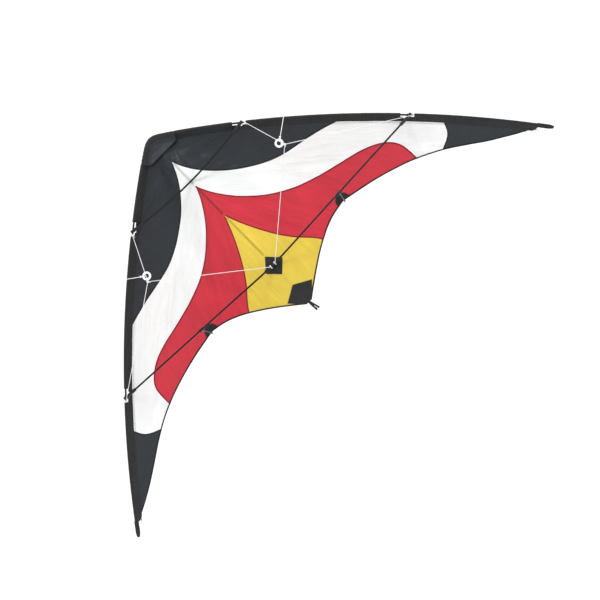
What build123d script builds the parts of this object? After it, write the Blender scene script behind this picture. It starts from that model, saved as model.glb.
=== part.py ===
"""Dual-line delta sport kite, 1.6 m between the wing tips.

Millimetres. The origin is the centre cross, where the spine and the lower spreaders meet.
+Z runs along the spine to the nose, +X to the right wing tip, and the front of the kite,
the side with the bridle and the spreaders, faces -Y. The right half is modelled and the
left half is its mirror image about the YZ plane.
"""
from build123d import *
import math
import os

# --- driving dimensions -------------------------------------------------------------------
nose_z = 465.0                # where the two leading edges would meet on the spine
tail_z = -137.0               # lower end of the sail on the spine
rod_radius = 2.5              # fibreglass rods of the frame
rod_clearance = 0.05          # between a rod and the hole it runs in
standoff_radius = 1.5
cord_radius = 0.8             # braided bridle line
sail_thickness = 1.0          # stand-in for 0.1 mm ripstop
patch_thickness = 1.0
patch_gap = 0.3               # between a sewn patch and the sail behind it
billow = 0.245                # depth of the sail for each mm of distance from the nose
spine_y = 4.3                 # the spine lies behind the sail
spreader_y = -8.0             # the centre tee lies in front of the sail
tee_radius = 4.5
tee_arm = 28.0
fitting_radius = 4.5
fitting_length = 36.0         # vinyl connector, from the leading edge inwards
fitting_nose = 5.5            # and from the leading edge outwards
sleeve_tilt = 40.0            # the sleeve follows the slope of the sail
sleeve_reach = 20.0           # rod centre to the sleeve's inner seam
sleeve_radius = 4.4
sleeve_wall = 0.8
cutout_length = 38.0          # opening in the sleeve at each connector
cutout_shift = 6.0            # the opening reaches further to the nose than to the tip
ring_outer = 11.0
ring_inner = 6.0
hem_width = 6.0
seam_half_width = 5.0
hub_clearance = 6.2           # the wings' sail starts this far from the spine
pocket_bottom = 431.0         # lower edge of the nose pocket
spreader_stop = 7.5           # the spreaders end this far from the leading edge's centre line
spreader_bow = 7.6            # slope of the bowed upper spreader at its ends, in degrees
standoff_patch_radius = 22.0
tail_strap_width = 7.0        # narrow enough for the folded wings to pass beside it

nose = Vector(0, 0, nose_z)
tee = Vector(0, spreader_y, 0)
tow_knot = Vector(240, -250, 158)
edge_start = Vector(26, -6, 475)
edge_middle = Vector(382, 6, 189)
edge_end = Vector(796, 75, -261)

# places along the leading edge, as fractions of its length
sleeve_from = 0.045
upper_connector_at = 0.212
ferrule_at = 0.45
lower_connector_at = 0.636
sleeve_to = 0.952
rod_ends_at = 0.972

# sewn lines of the right wing, seen from the front, as (x, z)
trailing_inner = [(9, -137), (69, -88), (143, -35), (217, 0), (260, 9)]
trailing_outer = [(260, 9), (330, -4), (410, -26), (490, -58), (560, -97), (660, -167), (757, -226)]
nose_seam = [(-4, 412), (0, 398), (42, 328), (128, 258), (213, 215), (318, 186), (397, 158), (440, 140)]
heart_seam = [(-4, 318), (0, 306), (52, 222), (138, 153), (267, 102), (352, 79), (410, 59), (452, 33),
              (478, 0), (484, -30), (488, -80)]
star_seam = [(-4, 203), (0, 189), (28, 122), (62, 62), (100, 14), (139, -28), (150, -50)]
tip_seam = [(625, -10), (598, -39), (587, -67), (549, -88), (520, -100)]

os.makedirs("parts", exist_ok=True)


# --- helpers ------------------------------------------------------------------------------
def write(part, name):
    """Label a finished piece and write it."""
    part.label = name
    export_step(part, f"parts/{name}.step")


def write_pair(part, name):
    """Write the right-hand piece and its mirror image."""
    write(part, f"right_{name}")
    write(part.mirror(Plane.YZ), f"left_{name}")


def rod(start, end, radius):
    """A straight round bar from start to end."""
    with BuildPart() as bar:
        with BuildSketch(Plane(start, z_dir=end - start)):
            Circle(radius)
        extrude(amount=(end - start).length)
    return bar.part


def tube(start, end, outer, inner):
    """A straight tube from start to end."""
    with BuildPart() as pipe:
        with BuildSketch(Plane(start, z_dir=end - start)):
            Circle(outer)
            Circle(inner, mode=Mode.SUBTRACT)
        extrude(amount=(end - start).length)
    return pipe.part


def ball(centre, radius):
    """A round knot."""
    with BuildPart() as knot:
        with Locations(centre):
            Sphere(radius)
    return knot.part


def leading_edge_line():
    """The bowed centre line of the leading edge, nose to tip."""
    return ThreePointArc(edge_start, edge_middle, edge_end)


leading_edge = leading_edge_line()


def edge_arc(first, last):
    """The stretch of the leading edge between two fractions of its length."""
    return ThreePointArc(
        leading_edge @ first, leading_edge @ ((first + last) / 2), leading_edge @ last
    )


def inward(at):
    """The direction square to the leading edge, in the XZ plane, towards the sail."""
    run = leading_edge % at
    return Vector(run.Z, 0, -run.X).normalized()


def edge_plane(at):
    """A plane square to the leading edge, whose x axis follows the slope of the sail."""
    run = leading_edge % at
    slope = math.radians(sleeve_tilt)
    down_sail = inward(at) * math.cos(slope) + Vector(0, math.sin(slope), 0)
    down_sail = down_sail - run * down_sail.dot(run)
    return Plane(leading_edge @ at, x_dir=down_sail, z_dir=run)


def edge_rod(first, last, radius, inner=None):
    """A bar, or a tube, that follows the leading edge."""
    with BuildPart() as bar:
        with BuildLine():
            edge_arc(first, last)
        with BuildSketch(Plane(leading_edge @ first, z_dir=leading_edge % first)):
            Circle(radius)
            if inner:
                Circle(inner, mode=Mode.SUBTRACT)
        sweep()
    return bar.part


# --- the curved sail ----------------------------------------------------------------------
def sail_point(along, across):
    """A point of the sail: along the leading edge, and across from the spine (0) to it (1)."""
    edge = leading_edge @ along
    reach = math.hypot(edge.X, nose_z - edge.Z)
    angle = math.atan2(edge.X, nose_z - edge.Z) * across
    depth = billow * reach * math.sin(math.pi * across**1.15) + edge.Y * across**2
    return Vector(reach * math.sin(angle), depth, nose_z - reach * math.cos(angle))


def sail_sheet(lift, thickness):
    """The right wing's whole sheet, lift mm in front of the sail's own front face."""
    rows = [0.01 + 0.99 * i / 13 for i in range(14)]
    columns = [j / 10 for j in range(11)]
    grid = [[sail_point(a, c) - Vector(0, lift, 0) for c in columns] for a in rows]
    front = Face.make_surface_from_array_of_points(grid)
    if front.normal_at(front.center()).Y < 0:
        front = -front
    return Solid.thicken(front, thickness)


sail = sail_sheet(0, sail_thickness)
patch_cloth = sail_sheet(patch_gap + patch_thickness, patch_thickness)


def edge_offset_points(distance):
    """Three points beside the leading edge, in the (x, z) of the front view."""
    points = []
    for at in (0.03, 0.5, 0.965):
        point = leading_edge @ at + inward(at) * distance
        points.append((point.X, point.Z))
    return points


def wing_outline(edge_distance, trim):
    """The sail's outline below the nose pocket, trimmed by trim at the trailing edge."""
    upper, middle, lower = edge_offset_points(edge_distance)
    inner = [(x, z + trim) for x, z in trailing_inner]
    outer = [(x, z + trim) for x, z in trailing_outer]
    with BuildSketch() as outline:
        with BuildLine():
            Line((hub_clearance, inner[0][1]), (hub_clearance, upper[1]))
            Line((hub_clearance, upper[1]), upper)
            ThreePointArc(upper, middle, lower)
            Line(lower, outer[-1])
            Spline(outer)
            Spline(inner)
            Line(inner[0], (hub_clearance, inner[0][1]))
        make_face()
        with Locations((0, pocket_bottom - 2)):
            Rectangle(200, 80, align=(Align.CENTER, Align.MIN), mode=Mode.SUBTRACT)
    return outline.sketch


def area_beside(seam, corners):
    """The area between a sewn line and the corners that close it."""
    with BuildSketch() as area:
        with BuildLine():
            line = Spline(seam)
            Polyline(line @ 1, *corners, line @ 0)
        make_face()
    return area.sketch


above_nose_seam = area_beside(nose_seam, [(440, 520), (-4, 520)])
inside_heart_seam = area_beside(heart_seam, [(488, -160), (-4, -160)])
inside_star_seam = area_beside(star_seam, [(150, -160), (-4, -160)])
beyond_tip_seam = area_beside(tip_seam, [(520, -260), (820, -300), (820, -10)])


def cut_from(sheet, *shapes):
    """The piece of a sheet inside the first shape, less the area of the others."""
    with BuildPart() as piece:
        with BuildSketch(Plane.XZ.offset(40)):
            add(shapes[0])
            for other in shapes[1:]:
                add(other, mode=Mode.SUBTRACT)
        extrude(amount=-240)
        add(sheet, mode=Mode.INTERSECT)
    return piece.part


def shared(one, other):
    """The area that two outlines share."""
    with BuildSketch() as both:
        add(one)
        add(other, mode=Mode.INTERSECT)
    return both.sketch


def sail_panels():
    """Five sewn panels and the hem of each wing."""
    cloth = wing_outline(16.0, hem_width)
    write_pair(cut_from(sail, shared(cloth, above_nose_seam)), "nose_panel")
    white = cut_from(sail, cloth, above_nose_seam, inside_heart_seam, beyond_tip_seam)
    write_pair(white, "white_panel")
    write_pair(cut_from(sail, shared(cloth, inside_heart_seam), inside_star_seam), "red_panel")
    write_pair(cut_from(sail, shared(cloth, inside_star_seam)), "yellow_panel")
    write_pair(cut_from(sail, shared(cloth, beyond_tip_seam)), "tip_panel")
    write_pair(cut_from(sail, wing_outline(16.0, 0), cloth), "trailing_edge_hem")


def spine_seam():
    """The tape over the spine, open where the centre tee comes through the sail."""
    top = pocket_bottom - 2
    corners = [(0, -128), (seam_half_width, -128), (seam_half_width, top), (0, top)]
    write(over_both_wings(sail, corners, (2 * seam_half_width, 28)), "spine_seam")


# --- patches ------------------------------------------------------------------------------
def over_both_wings(sheet, corners, opening=None):
    """A piece of a sheet over both wings, with an opening at the centre cross."""
    with BuildSketch() as shape:
        with BuildLine():
            Polyline(*corners, close=True)
        make_face()
        if opening:
            Rectangle(*opening, mode=Mode.SUBTRACT)
    half = cut_from(sheet, shape.sketch)
    with BuildPart() as patch:
        add(half)
        mirror(about=Plane.YZ)
    return patch.part


def centre_patch():
    write(over_both_wings(patch_cloth, [(0, 33), (31, 0), (0, -33)], (14, 28)), "centre_patch")


def tail_patch():
    write(over_both_wings(patch_cloth, [(0, -74), (46, -97), (10, -135), (0, -135)]), "tail_patch")


def standoff_patch():
    """A half disc at the trailing edge, where the standoff holds the sail."""
    with BuildSketch() as shape:
        with Locations(trailing_outer[0]):
            Circle(standoff_patch_radius)
            Rectangle(60, 32, align=(Align.CENTER, Align.MAX), mode=Mode.SUBTRACT)
    write_pair(cut_from(patch_cloth, shape.sketch), "standoff_patch")


def nose_patch():
    """The webbing pocket that holds the upper ends of the three rods, open below."""
    outline = [(0, 498.4), (67, 452), (50, pocket_bottom), (-50, pocket_bottom), (-67, 452)]
    inside = [(0, 496.6), (66, 450.4), (66, 425), (-66, 425), (-66, 450.4)]
    nose_radius = 42
    with BuildPart() as pocket:
        with BuildSketch(Plane.XZ.offset(12)) as shape:
            Polygon(*outline, align=None)
            fillet(shape.vertices().sort_by(Axis.Y)[-1], nose_radius)
        extrude(amount=-21.5)
        with BuildSketch(Plane.XZ.offset(10.8)) as hollow:
            Polygon(*inside, align=None)
            fillet(hollow.vertices().sort_by(Axis.Y)[-1], nose_radius)
        extrude(amount=-19.1, mode=Mode.SUBTRACT)
    write(pocket.part, "nose_patch")


# --- frame rods ---------------------------------------------------------------------------
def spine():
    write(rod(Vector(0, spine_y, -140), Vector(0, spine_y, 471), rod_radius), "spine_rod")


def spine_end_cap():
    """The notched cap on the spine's lower end."""
    with BuildPart() as cap:
        with BuildSketch(Plane.XY.offset(-153)):
            with Locations((0, spine_y)):
                Circle(4)
        extrude(amount=20)
        with BuildSketch(Plane.XY.offset(-140.2)):
            with Locations((0, spine_y)):
                Circle(rod_radius + rod_clearance)
        extrude(amount=20, mode=Mode.SUBTRACT)
        with BuildSketch(Plane.XZ.offset(10)):
            with Locations((0, -153)):
                SlotOverall(10, 2.4, rotation=90)
        extrude(amount=-30, mode=Mode.SUBTRACT)
    write(cap.part, "spine_end_cap")


def tail_strap():
    """The folded webbing that pulls the sail down over the spine's end."""
    with BuildPart() as strap:
        with BuildSketch(Plane.YZ.offset(-tail_strap_width / 2)):
            with Locations((spine_y, -143.5)):
                SlotOverall(46, 13, rotation=90)
                SlotOverall(43.6, 10.6, rotation=90, mode=Mode.SUBTRACT)
            with Locations((spine_y, -124.5)):
                Rectangle(20, 25, mode=Mode.SUBTRACT)
        extrude(amount=tail_strap_width)
    write(strap.part, "tail_strap")


def leading_edge_rods():
    """Two rods that meet inside a metal ferrule."""
    half_ferrule = 0.028
    write_pair(edge_rod(0.004, ferrule_at - 0.0003, rod_radius), "upper_leading_edge_rod")
    write_pair(edge_rod(ferrule_at + 0.0003, rod_ends_at, rod_radius), "lower_leading_edge_rod")
    collar = edge_rod(
        ferrule_at - half_ferrule, ferrule_at + half_ferrule, 3.1, rod_radius + rod_clearance
    )
    write_pair(collar, "leading_edge_ferrule")


def flattened_pocket(radius, seam_radius, seam_at):
    """Cloth pulled from round the rod to its seam: the hull of two circles."""
    with BuildSketch() as pocket:
        with BuildLine():
            CenterArc((0, 0), radius, 0, 360)
            CenterArc((seam_at, 0), seam_radius, 0, 360)
        make_hull()
    return pocket.sketch


def leading_edge_sleeve():
    """The pocket of the leading edge, with an opening at each connector."""
    with BuildPart() as sleeve:
        with BuildLine():
            edge_arc(sleeve_from, sleeve_to)
        with BuildSketch(edge_plane(sleeve_from)):
            add(flattened_pocket(sleeve_radius, 1.4, sleeve_reach - 1.4))
            add(flattened_pocket(sleeve_radius - sleeve_wall, 0.5, sleeve_reach - 2.4), mode=Mode.SUBTRACT)
        sweep()
        for at in (upper_connector_at, lower_connector_at):
            with BuildSketch(Plane(leading_edge @ at, x_dir=inward(at), z_dir=(0, 1, 0)).offset(-30)):
                with Locations((2.5, cutout_shift)):
                    Rectangle(19, cutout_length)
            extrude(amount=60, mode=Mode.SUBTRACT)
    write_pair(sleeve.part, "leading_edge_sleeve")


# --- spreaders and connectors -------------------------------------------------------------
lower_edge_point = leading_edge @ lower_connector_at
upper_edge_point = leading_edge @ upper_connector_at
lower_run = (lower_edge_point - tee).normalized()
standoff_root = tee + lower_run * (262 / lower_run.X)
standoff_end = Vector(262, 127, 5)
upper_run = Vector(math.cos(math.radians(spreader_bow)), 0, math.sin(math.radians(spreader_bow)))


def centre_tee():
    """A vinyl tee: a sleeve on the spine, a neck through the sail and an arm to each side."""
    left_run = Vector(-lower_run.X, lower_run.Y, lower_run.Z)
    with BuildPart() as fitting:
        with BuildSketch(Plane.XY.offset(-12)):
            with Locations((0, spine_y)):
                Circle(5)
        extrude(amount=24)
        with BuildSketch(Plane.XZ.offset(-spreader_y)):
            Rectangle(8, 8)
        extrude(amount=-(spine_y - spreader_y))
        for run in (lower_run, left_run):
            with BuildSketch(Plane(tee, z_dir=run)):
                Circle(tee_radius)
            extrude(amount=tee_arm)
        with BuildSketch(Plane.XY.offset(-20)):
            with Locations((0, spine_y)):
                Circle(rod_radius + rod_clearance)
        extrude(amount=40, mode=Mode.SUBTRACT)
        for run in (lower_run, left_run):
            with BuildSketch(Plane(tee + run * 8, z_dir=run)):
                Circle(rod_radius + rod_clearance)
            extrude(amount=tee_arm, mode=Mode.SUBTRACT)
    write(fitting.part, "centre_tee")


def connector(edge_point, run, at):
    """A vinyl tube across the leading edge: the edge rod runs through it, the spreader into it."""
    with BuildPart() as fitting:
        with BuildSketch(Plane(edge_point + run * fitting_nose, z_dir=-run)):
            Circle(fitting_radius)
        extrude(amount=fitting_length + fitting_nose)
        with BuildSketch(Plane(edge_point - run * (spreader_stop - 0.5), z_dir=-run)):
            Circle(rod_radius + rod_clearance)
        extrude(amount=fitting_length, mode=Mode.SUBTRACT)
        add(edge_rod(at - 0.01, at + 0.01, rod_radius + rod_clearance), mode=Mode.SUBTRACT)
    return fitting.part


def connectors():
    write_pair(connector(upper_edge_point, upper_run, upper_connector_at), "upper_connector")
    write_pair(connector(lower_edge_point, lower_run, lower_connector_at), "lower_connector")


def spreaders():
    """One rod above, bowed between its connectors, and a straight rod to each side below."""
    end = upper_edge_point - upper_run * spreader_stop
    bend = upper_edge_point - upper_run * (fitting_length + 2)
    sag = bend.X * math.tan(math.radians(spreader_bow / 2))
    far_end, far_bend = Vector(-end.X, end.Y, end.Z), Vector(-bend.X, bend.Y, bend.Z)
    with BuildPart() as bowed:
        with BuildLine():
            Line(far_end, far_bend)
            ThreePointArc(far_bend, Vector(0, bend.Y, bend.Z - sag), bend)
            Line(bend, end)
        with BuildSketch(Plane(far_end, z_dir=far_bend - far_end)):
            Circle(rod_radius)
        sweep()
    write(bowed.part, "upper_spreader")
    outer_end = lower_edge_point - lower_run * spreader_stop
    write_pair(rod(tee + lower_run * 10, outer_end, rod_radius), "lower_spreader")


def standoffs():
    """A clip that turns on the spreader, a thin rod and its end cap at the trailing edge."""
    run = (standoff_end - standoff_root).normalized()
    with BuildPart() as clip:
        with BuildSketch(Plane(standoff_root - lower_run * 7, z_dir=lower_run)):
            Circle(4.5)
        extrude(amount=14)
        with BuildSketch(Plane(standoff_root, z_dir=run)):
            Circle(3.2)
        extrude(amount=15)
        with BuildSketch(Plane(standoff_root - lower_run * 10, z_dir=lower_run)):
            Circle(rod_radius + rod_clearance)
        extrude(amount=20, mode=Mode.SUBTRACT)
        with BuildSketch(Plane(standoff_root + run * 3.8, z_dir=run)):
            Circle(standoff_radius + rod_clearance)
        extrude(amount=20, mode=Mode.SUBTRACT)
    write_pair(clip.part, "standoff_clip")
    write_pair(rod(standoff_root + run * 4, standoff_end, standoff_radius), "standoff_rod")
    with BuildPart() as cap:
        with BuildSketch(Plane(standoff_end - run * 10, z_dir=run)):
            Circle(2.6)
        extrude(amount=12)
        with BuildSketch(Plane(standoff_end - run * 12, z_dir=run)):
            Circle(standoff_radius + rod_clearance)
        extrude(amount=12.2, mode=Mode.SUBTRACT)
    write_pair(cap.part, "standoff_cap")


# --- wing tips ----------------------------------------------------------------------------
def tip_nock():
    """The notched cap on the end of the leading edge."""
    end = leading_edge @ rod_ends_at
    run = leading_edge % rod_ends_at
    with BuildPart() as nock:
        with BuildSketch(Plane(end - run * 11, z_dir=run)):
            Circle(3.6)
        extrude(amount=21)
        with BuildSketch(Plane(end - run * 15, z_dir=run)):
            Circle(rod_radius + 0.2)
        extrude(amount=15.3, mode=Mode.SUBTRACT)
        with BuildSketch(Plane(end + run * 10, x_dir=run, z_dir=inward(rod_ends_at)).offset(-10)):
            SlotOverall(8, 2.2)
        extrude(amount=20, mode=Mode.SUBTRACT)
    write_pair(nock.part, "tip_nock")


def tip_loop():
    """The webbing loop that pulls the sail's corner to the nock."""
    middle = leading_edge @ 0.978
    run = leading_edge % 0.978
    with BuildPart() as loop:
        with BuildSketch(Plane(middle, x_dir=run, z_dir=inward(0.978)).offset(-6)):
            SlotOverall(47, 11)
            SlotOverall(44.6, 8.6, mode=Mode.SUBTRACT)
            with Locations((-20, 0)):
                Rectangle(10, 11, mode=Mode.SUBTRACT)
        extrude(amount=12)
    write_pair(loop.part, "tip_loop")


# --- bridle -------------------------------------------------------------------------------
knot_radius = 3.2
upper_tie = leading_edge @ (upper_connector_at + 0.0095)
lower_tie = leading_edge @ (lower_connector_at + 0.0095)
centre_tie = tee + lower_run * 7
tie_radius = 4.4
ring_lean = Vector(-0.55, 0, 0.835)
line_run = Vector(0.81, 0, 0.586)
line_length = 400.0


def bridle_leg(tie, tie_gap):
    """A taut line from a tie on the frame to the knot at the tow ring."""
    run = (tow_knot - tie).normalized()
    return rod(tie + run * tie_gap, tow_knot - run * (knot_radius + 0.2), cord_radius)


def bridle():
    """Three legs to each tow ring, and the ties and knots that hold them."""
    write_pair(bridle_leg(upper_tie, 5), "upper_bridle_leg")
    write_pair(bridle_leg(lower_tie, 7.5), "outer_bridle_leg")
    write_pair(bridle_leg(centre_tie, 6.6), "centre_bridle_leg")
    half_tie = 0.0016
    with BuildPart() as knots:
        for at in (upper_connector_at + 0.0095, lower_connector_at + 0.0095):
            add(edge_rod(at - half_tie, at + half_tie, tie_radius, rod_radius + rod_clearance))
        add(ball(tow_knot, knot_radius))
    write_pair(knots.part, "bridle_knots")
    loop = tube(tee + lower_run * 6, tee + lower_run * 8, tee_radius + 1.6, tee_radius + 0.05)
    with BuildPart() as loops:
        add(loop)
        mirror(about=Plane.YZ)
    write(loops.part, "centre_bridle_loops")


ring_centre = tow_knot + ring_lean * (knot_radius + ring_outer + 0.3)


def tow_ring():
    """A thick plastic ring with rounded edges, square to the line of sight of the flyer."""
    with BuildPart() as ring:
        with BuildSketch(Plane(ring_centre, x_dir=(1, 0, 0), z_dir=(0, 0, 1))):
            with Locations(((ring_outer + ring_inner) / 2, 0)):
                RectangleRounded(ring_outer - ring_inner, 4.4, 1.8)
        revolve(axis=Axis(ring_centre, (0, 1, 0)), revolution_arc=360)
    write_pair(ring.part, "tow_ring")


def flying_line():
    """The end of the flying line, pulled straight out past the leading edge."""
    start = ring_centre + line_run * (ring_outer + 0.4)
    write_pair(rod(start, start + line_run * line_length, cord_radius), "flying_line_end")


sail_panels()
spine_seam()
centre_patch()
tail_patch()
standoff_patch()
nose_patch()
spine()
spine_end_cap()
tail_strap()
leading_edge_rods()
leading_edge_sleeve()
centre_tee()
connectors()
spreaders()
standoffs()
tip_nock()
tip_loop()
bridle()
tow_ring()
flying_line()
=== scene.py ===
"""Looks of a dual-line delta kite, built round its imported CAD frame.

Metres, in the CAD frame: the origin is the centre cross, +Z runs along the spine to the nose,
+X to the right wing tip, and the flyer's side faces -Y. Each wing's pieces are worked out as
right-hand pieces, and the left wing's are mirrored about x = 0, with creases of their own.
"""
import math
import random

import bpy
import numpy as np
from mathutils import Matrix, Vector
from mathutils.geometry import delaunay_2d_cdt


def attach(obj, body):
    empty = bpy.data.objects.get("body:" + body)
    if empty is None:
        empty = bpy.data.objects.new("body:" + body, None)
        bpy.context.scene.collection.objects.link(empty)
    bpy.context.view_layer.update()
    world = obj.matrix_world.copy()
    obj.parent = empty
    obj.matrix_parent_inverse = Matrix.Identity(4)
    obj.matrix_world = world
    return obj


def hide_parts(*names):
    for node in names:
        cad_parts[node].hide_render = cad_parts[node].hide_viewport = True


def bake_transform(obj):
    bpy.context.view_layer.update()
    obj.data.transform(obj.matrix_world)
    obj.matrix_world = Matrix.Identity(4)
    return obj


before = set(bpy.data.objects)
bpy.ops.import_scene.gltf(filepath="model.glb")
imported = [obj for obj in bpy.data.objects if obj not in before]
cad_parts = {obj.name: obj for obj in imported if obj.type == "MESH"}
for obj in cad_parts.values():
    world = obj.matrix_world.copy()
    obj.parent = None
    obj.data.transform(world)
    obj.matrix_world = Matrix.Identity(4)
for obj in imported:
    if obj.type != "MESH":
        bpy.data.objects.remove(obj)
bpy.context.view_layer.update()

# --- driving dimensions: the CAD model's, unless a comment says otherwise --------------------
NOSE_Z = 0.465                # where the two leading edges would meet on the spine
BILLOW = 0.245                # depth of the sail for each metre of distance from the nose
SPINE_Y = 0.0043              # the spine runs behind the sail
TEE = Vector((0.0, -0.008, 0.0))              # where the lower spreaders' axes meet
TEE_RADIUS = 0.0045
TOW_KNOT = Vector((0.240, -0.250, 0.158))     # where the three legs of the bridle meet
EDGE_POINTS = (               # the leading edge's two ends, and a point between them
    Vector((0.026, -0.006, 0.475)), Vector((0.382, 0.006, 0.189)), Vector((0.796, 0.075, -0.261)),
)
ROD_RADIUS = 0.0025
UPPER_CONNECTOR_AT = 0.212    # this and the next four are fractions of the edge's length
LOWER_CONNECTOR_AT = 0.636
TIE_BESIDE = 0.0095           # from a connector to the bridle's tie
SLEEVE_FROM = 0.0385          # tucked further into the nose pocket than the CAD sleeve
SLEEVE_TO = 0.960             # and drawn out further under the webbing of the tip
SLEEVE_RADIUS = 0.0044
SLEEVE_REACH = 0.020          # from the rod to the sewn edge
SLEEVE_OPENING = 0.038        # cut away at each connector
OPENING_SHIFT = 0.006         # the openings reach further to the nose than to the tip
POCKET_BOTTOM = 0.431         # the nose pocket's lower edge
CLOTH = 0.00025               # thickness of the ripstop, which is 1 mm in the CAD model
FOLD = 0.0004                 # thickness of the cloth's folded edges
WEBBING = 0.0009              # thickness of the webbing
BINDING_WIDTH = 0.0175        # dark cloth round the nose pocket, as wide as the sleeve
LINE_DIAMETER = 0.0016
LINE_RADIUS = LINE_DIAMETER / 2
RING_OUTER = 0.011
RING_MIDDLE = 0.0085          # radius of the middle of the ring's rim
RING_LEAN = Vector((-0.55, 0.0, 0.835))       # from the tow knot to the ring
LINE_RUN = Vector((0.81, 0.0, 0.586))         # from the ring along the flying line
LINE_LENGTH = 0.400
SHARP_ANGLE = math.radians(40.0)
FULL_TURN = 2 * math.pi

# sewn lines of the right wing, seen from the front, as (x, z)
TRAILING_INNER = [(.009, -.137), (.069, -.088), (.143, -.035), (.217, 0), (.260, .009)]
TRAILING_OUTER = [(.260, .009), (.330, -.004), (.410, -.026), (.490, -.058), (.560, -.097),
                  (.660, -.167), (.757, -.226)]
NOSE_SEAM = [(-.004, .412), (0, .398), (.042, .328), (.128, .258), (.213, .215), (.318, .186),
             (.397, .158), (.440, .140)]
HEART_SEAM = [(-.004, .318), (0, .306), (.052, .222), (.138, .153), (.267, .102), (.352, .079),
              (.410, .059), (.452, .033), (.478, 0), (.484, -.030), (.488, -.080)]
STAR_SEAM = [(-.004, .203), (0, .189), (.028, .122), (.062, .062), (.100, .014), (.139, -.028),
             (.150, -.050)]
TIP_SEAM = [(.625, -.010), (.598, -.039), (.587, -.067), (.549, -.088), (.520, -.100)]


# --- camera, light and floor ----------------------------------------------------------------
def make_camera():
    """The flyer's side, seen from a little below, with the nose turned to the upper left."""
    looks = Vector((-0.0490, 0.9937, 0.1006)).normalized()
    up_hint = Vector((0.7035, -0.0371, 0.7097))
    right = looks.cross(up_hint).normalized()
    up = right.cross(looks)
    data = bpy.data.cameras.new("camera")
    data.lens = 65.7
    data.sensor_width = 36.0
    camera = bpy.data.objects.new("camera", data)
    turn = Matrix((right, up, -looks)).transposed().to_4x4()
    camera.matrix_world = Matrix.Translation((0.129, -2.909, -0.411)) @ turn
    bpy.context.scene.collection.objects.link(camera)
    bpy.context.scene.camera = camera


def add_area_light(name, place, aim, size, power):
    """A round soft light at place, turned to aim."""
    data = bpy.data.lights.new(name, "AREA")
    data.shape = "DISK"
    data.size = size
    data.energy = power
    light = bpy.data.objects.new(name, data)
    light.location = place
    light.rotation_euler = (Vector(aim) - Vector(place)).to_track_quat("-Z", "Y").to_euler()
    bpy.context.scene.collection.objects.link(light)


def make_studio():
    """An even white surround and soft lights, the key from the upper right."""
    scene = bpy.context.scene
    scene.view_settings.view_transform = "Standard"
    world = bpy.data.worlds.new("surround")
    world.use_nodes = True
    world.node_tree.nodes["Background"].inputs["Color"].default_value = (1.0, 1.0, 1.0, 1.0)
    world.node_tree.nodes["Background"].inputs["Strength"].default_value = 1.1
    scene.world = world
    add_area_light("key", (0.9, -2.9, 2.3), (0.0, 0.0, 0.0), 1.2, 66.0)
    add_area_light("rim", (-2.2, -0.6, 2.2), (-0.2, 0.0, 0.1), 1.2, 14.0)


# --- shaders --------------------------------------------------------------------------------
class Shader:
    """A material's node tree, with short calls that add a node and join its inputs."""

    def __init__(self, name):
        self.material = bpy.data.materials.new(name)
        self.material.use_nodes = True
        self.tree = self.material.node_tree
        self.tree.nodes.clear()

    def node(self, kind, inputs=(), **settings):
        """A node whose inputs are joined to sockets or set to constants."""
        made = self.tree.nodes.new(kind)
        for key, value in settings.items():
            setattr(made, key, value)
        for key, value in dict(inputs).items():
            if isinstance(value, bpy.types.NodeSocket):
                self.tree.links.new(value, made.inputs[key])
            else:
                made.inputs[key].default_value = value
        return made

    def maths(self, operation, first, second=0.0):
        """One step of arithmetic on numbers."""
        return self.node("ShaderNodeMath", {0: first, 1: second}, operation=operation).outputs[0]

    def vector_maths(self, operation, inputs, output="Vector"):
        """One step of arithmetic on vectors."""
        return self.node("ShaderNodeVectorMath", inputs, operation=operation).outputs[output]

    def scale_noise(self, vector, scale, detail):
        """Soft noise, scale patches to a metre."""
        found = self.node("ShaderNodeTexNoise", {"Vector": vector, "Scale": scale, "Detail": detail})
        return found.outputs["Fac"]

    def remap(self, value, low, high, to_low, to_high):
        """The value's range from low to high, carried to another range and held within it."""
        ranged = {"Value": value, "From Min": low, "From Max": high, "To Min": to_low, "To Max": to_high}
        return self.node("ShaderNodeMapRange", ranged).outputs["Result"]

    def blend_colours(self, share, first, second):
        """From the first colour to the second as share goes from 0 to 1."""
        return self.node("ShaderNodeMix", {0: share, 6: first, 7: second}, data_type="RGBA").outputs[2]

    def rest_place(self):
        """The point on the piece at rest, in metres, whatever the joints do."""
        place = self.node("ShaderNodeAttribute", attribute_name="cloth").outputs["Vector"]
        parts = self.node("ShaderNodeSeparateXYZ", {0: place}).outputs
        return place, parts[0], parts[1]

    def threads(self, across, pitch):
        """Waves across a set of parallel threads."""
        return self.maths("SINE", self.maths("MULTIPLY", across, FULL_TURN / pitch))

    def grid_line(self, across, pitch, width):
        """1 on each line of a grid, falling to 0 at width from it."""
        gap = self.maths("PINGPONG", across, pitch / 2)
        return self.remap(gap, 0.0, width, 1.0, 0.0)

    def bump(self, height, distance):
        """The normal of a relief whose height counts distance metres for each unit."""
        sized = {"Height": height, "Distance": distance, "Strength": 1.0}
        return self.node("ShaderNodeBump", sized).outputs["Normal"]

    def surface(self, colour, roughness, normal, levels):
        """The Principled surface; levels are further sockets, by name, with constant values."""
        sockets = {"Base Color": colour, "Roughness": roughness, "Normal": normal, **levels}
        return self.node("ShaderNodeBsdfPrincipled", sockets).outputs[0]

    def finish(self, surface):
        """Join the surface to the material's output."""
        output = self.node("ShaderNodeOutputMaterial")
        self.tree.links.new(surface, output.inputs["Surface"])
        return self.material


def rgb(red, green, blue):
    """A linear colour with full alpha."""
    return (red, green, blue, 1.0)


def shade(colour, share):
    """The colour made darker or lighter by a share."""
    return rgb(*(c * share for c in colour[:3]))


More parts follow.
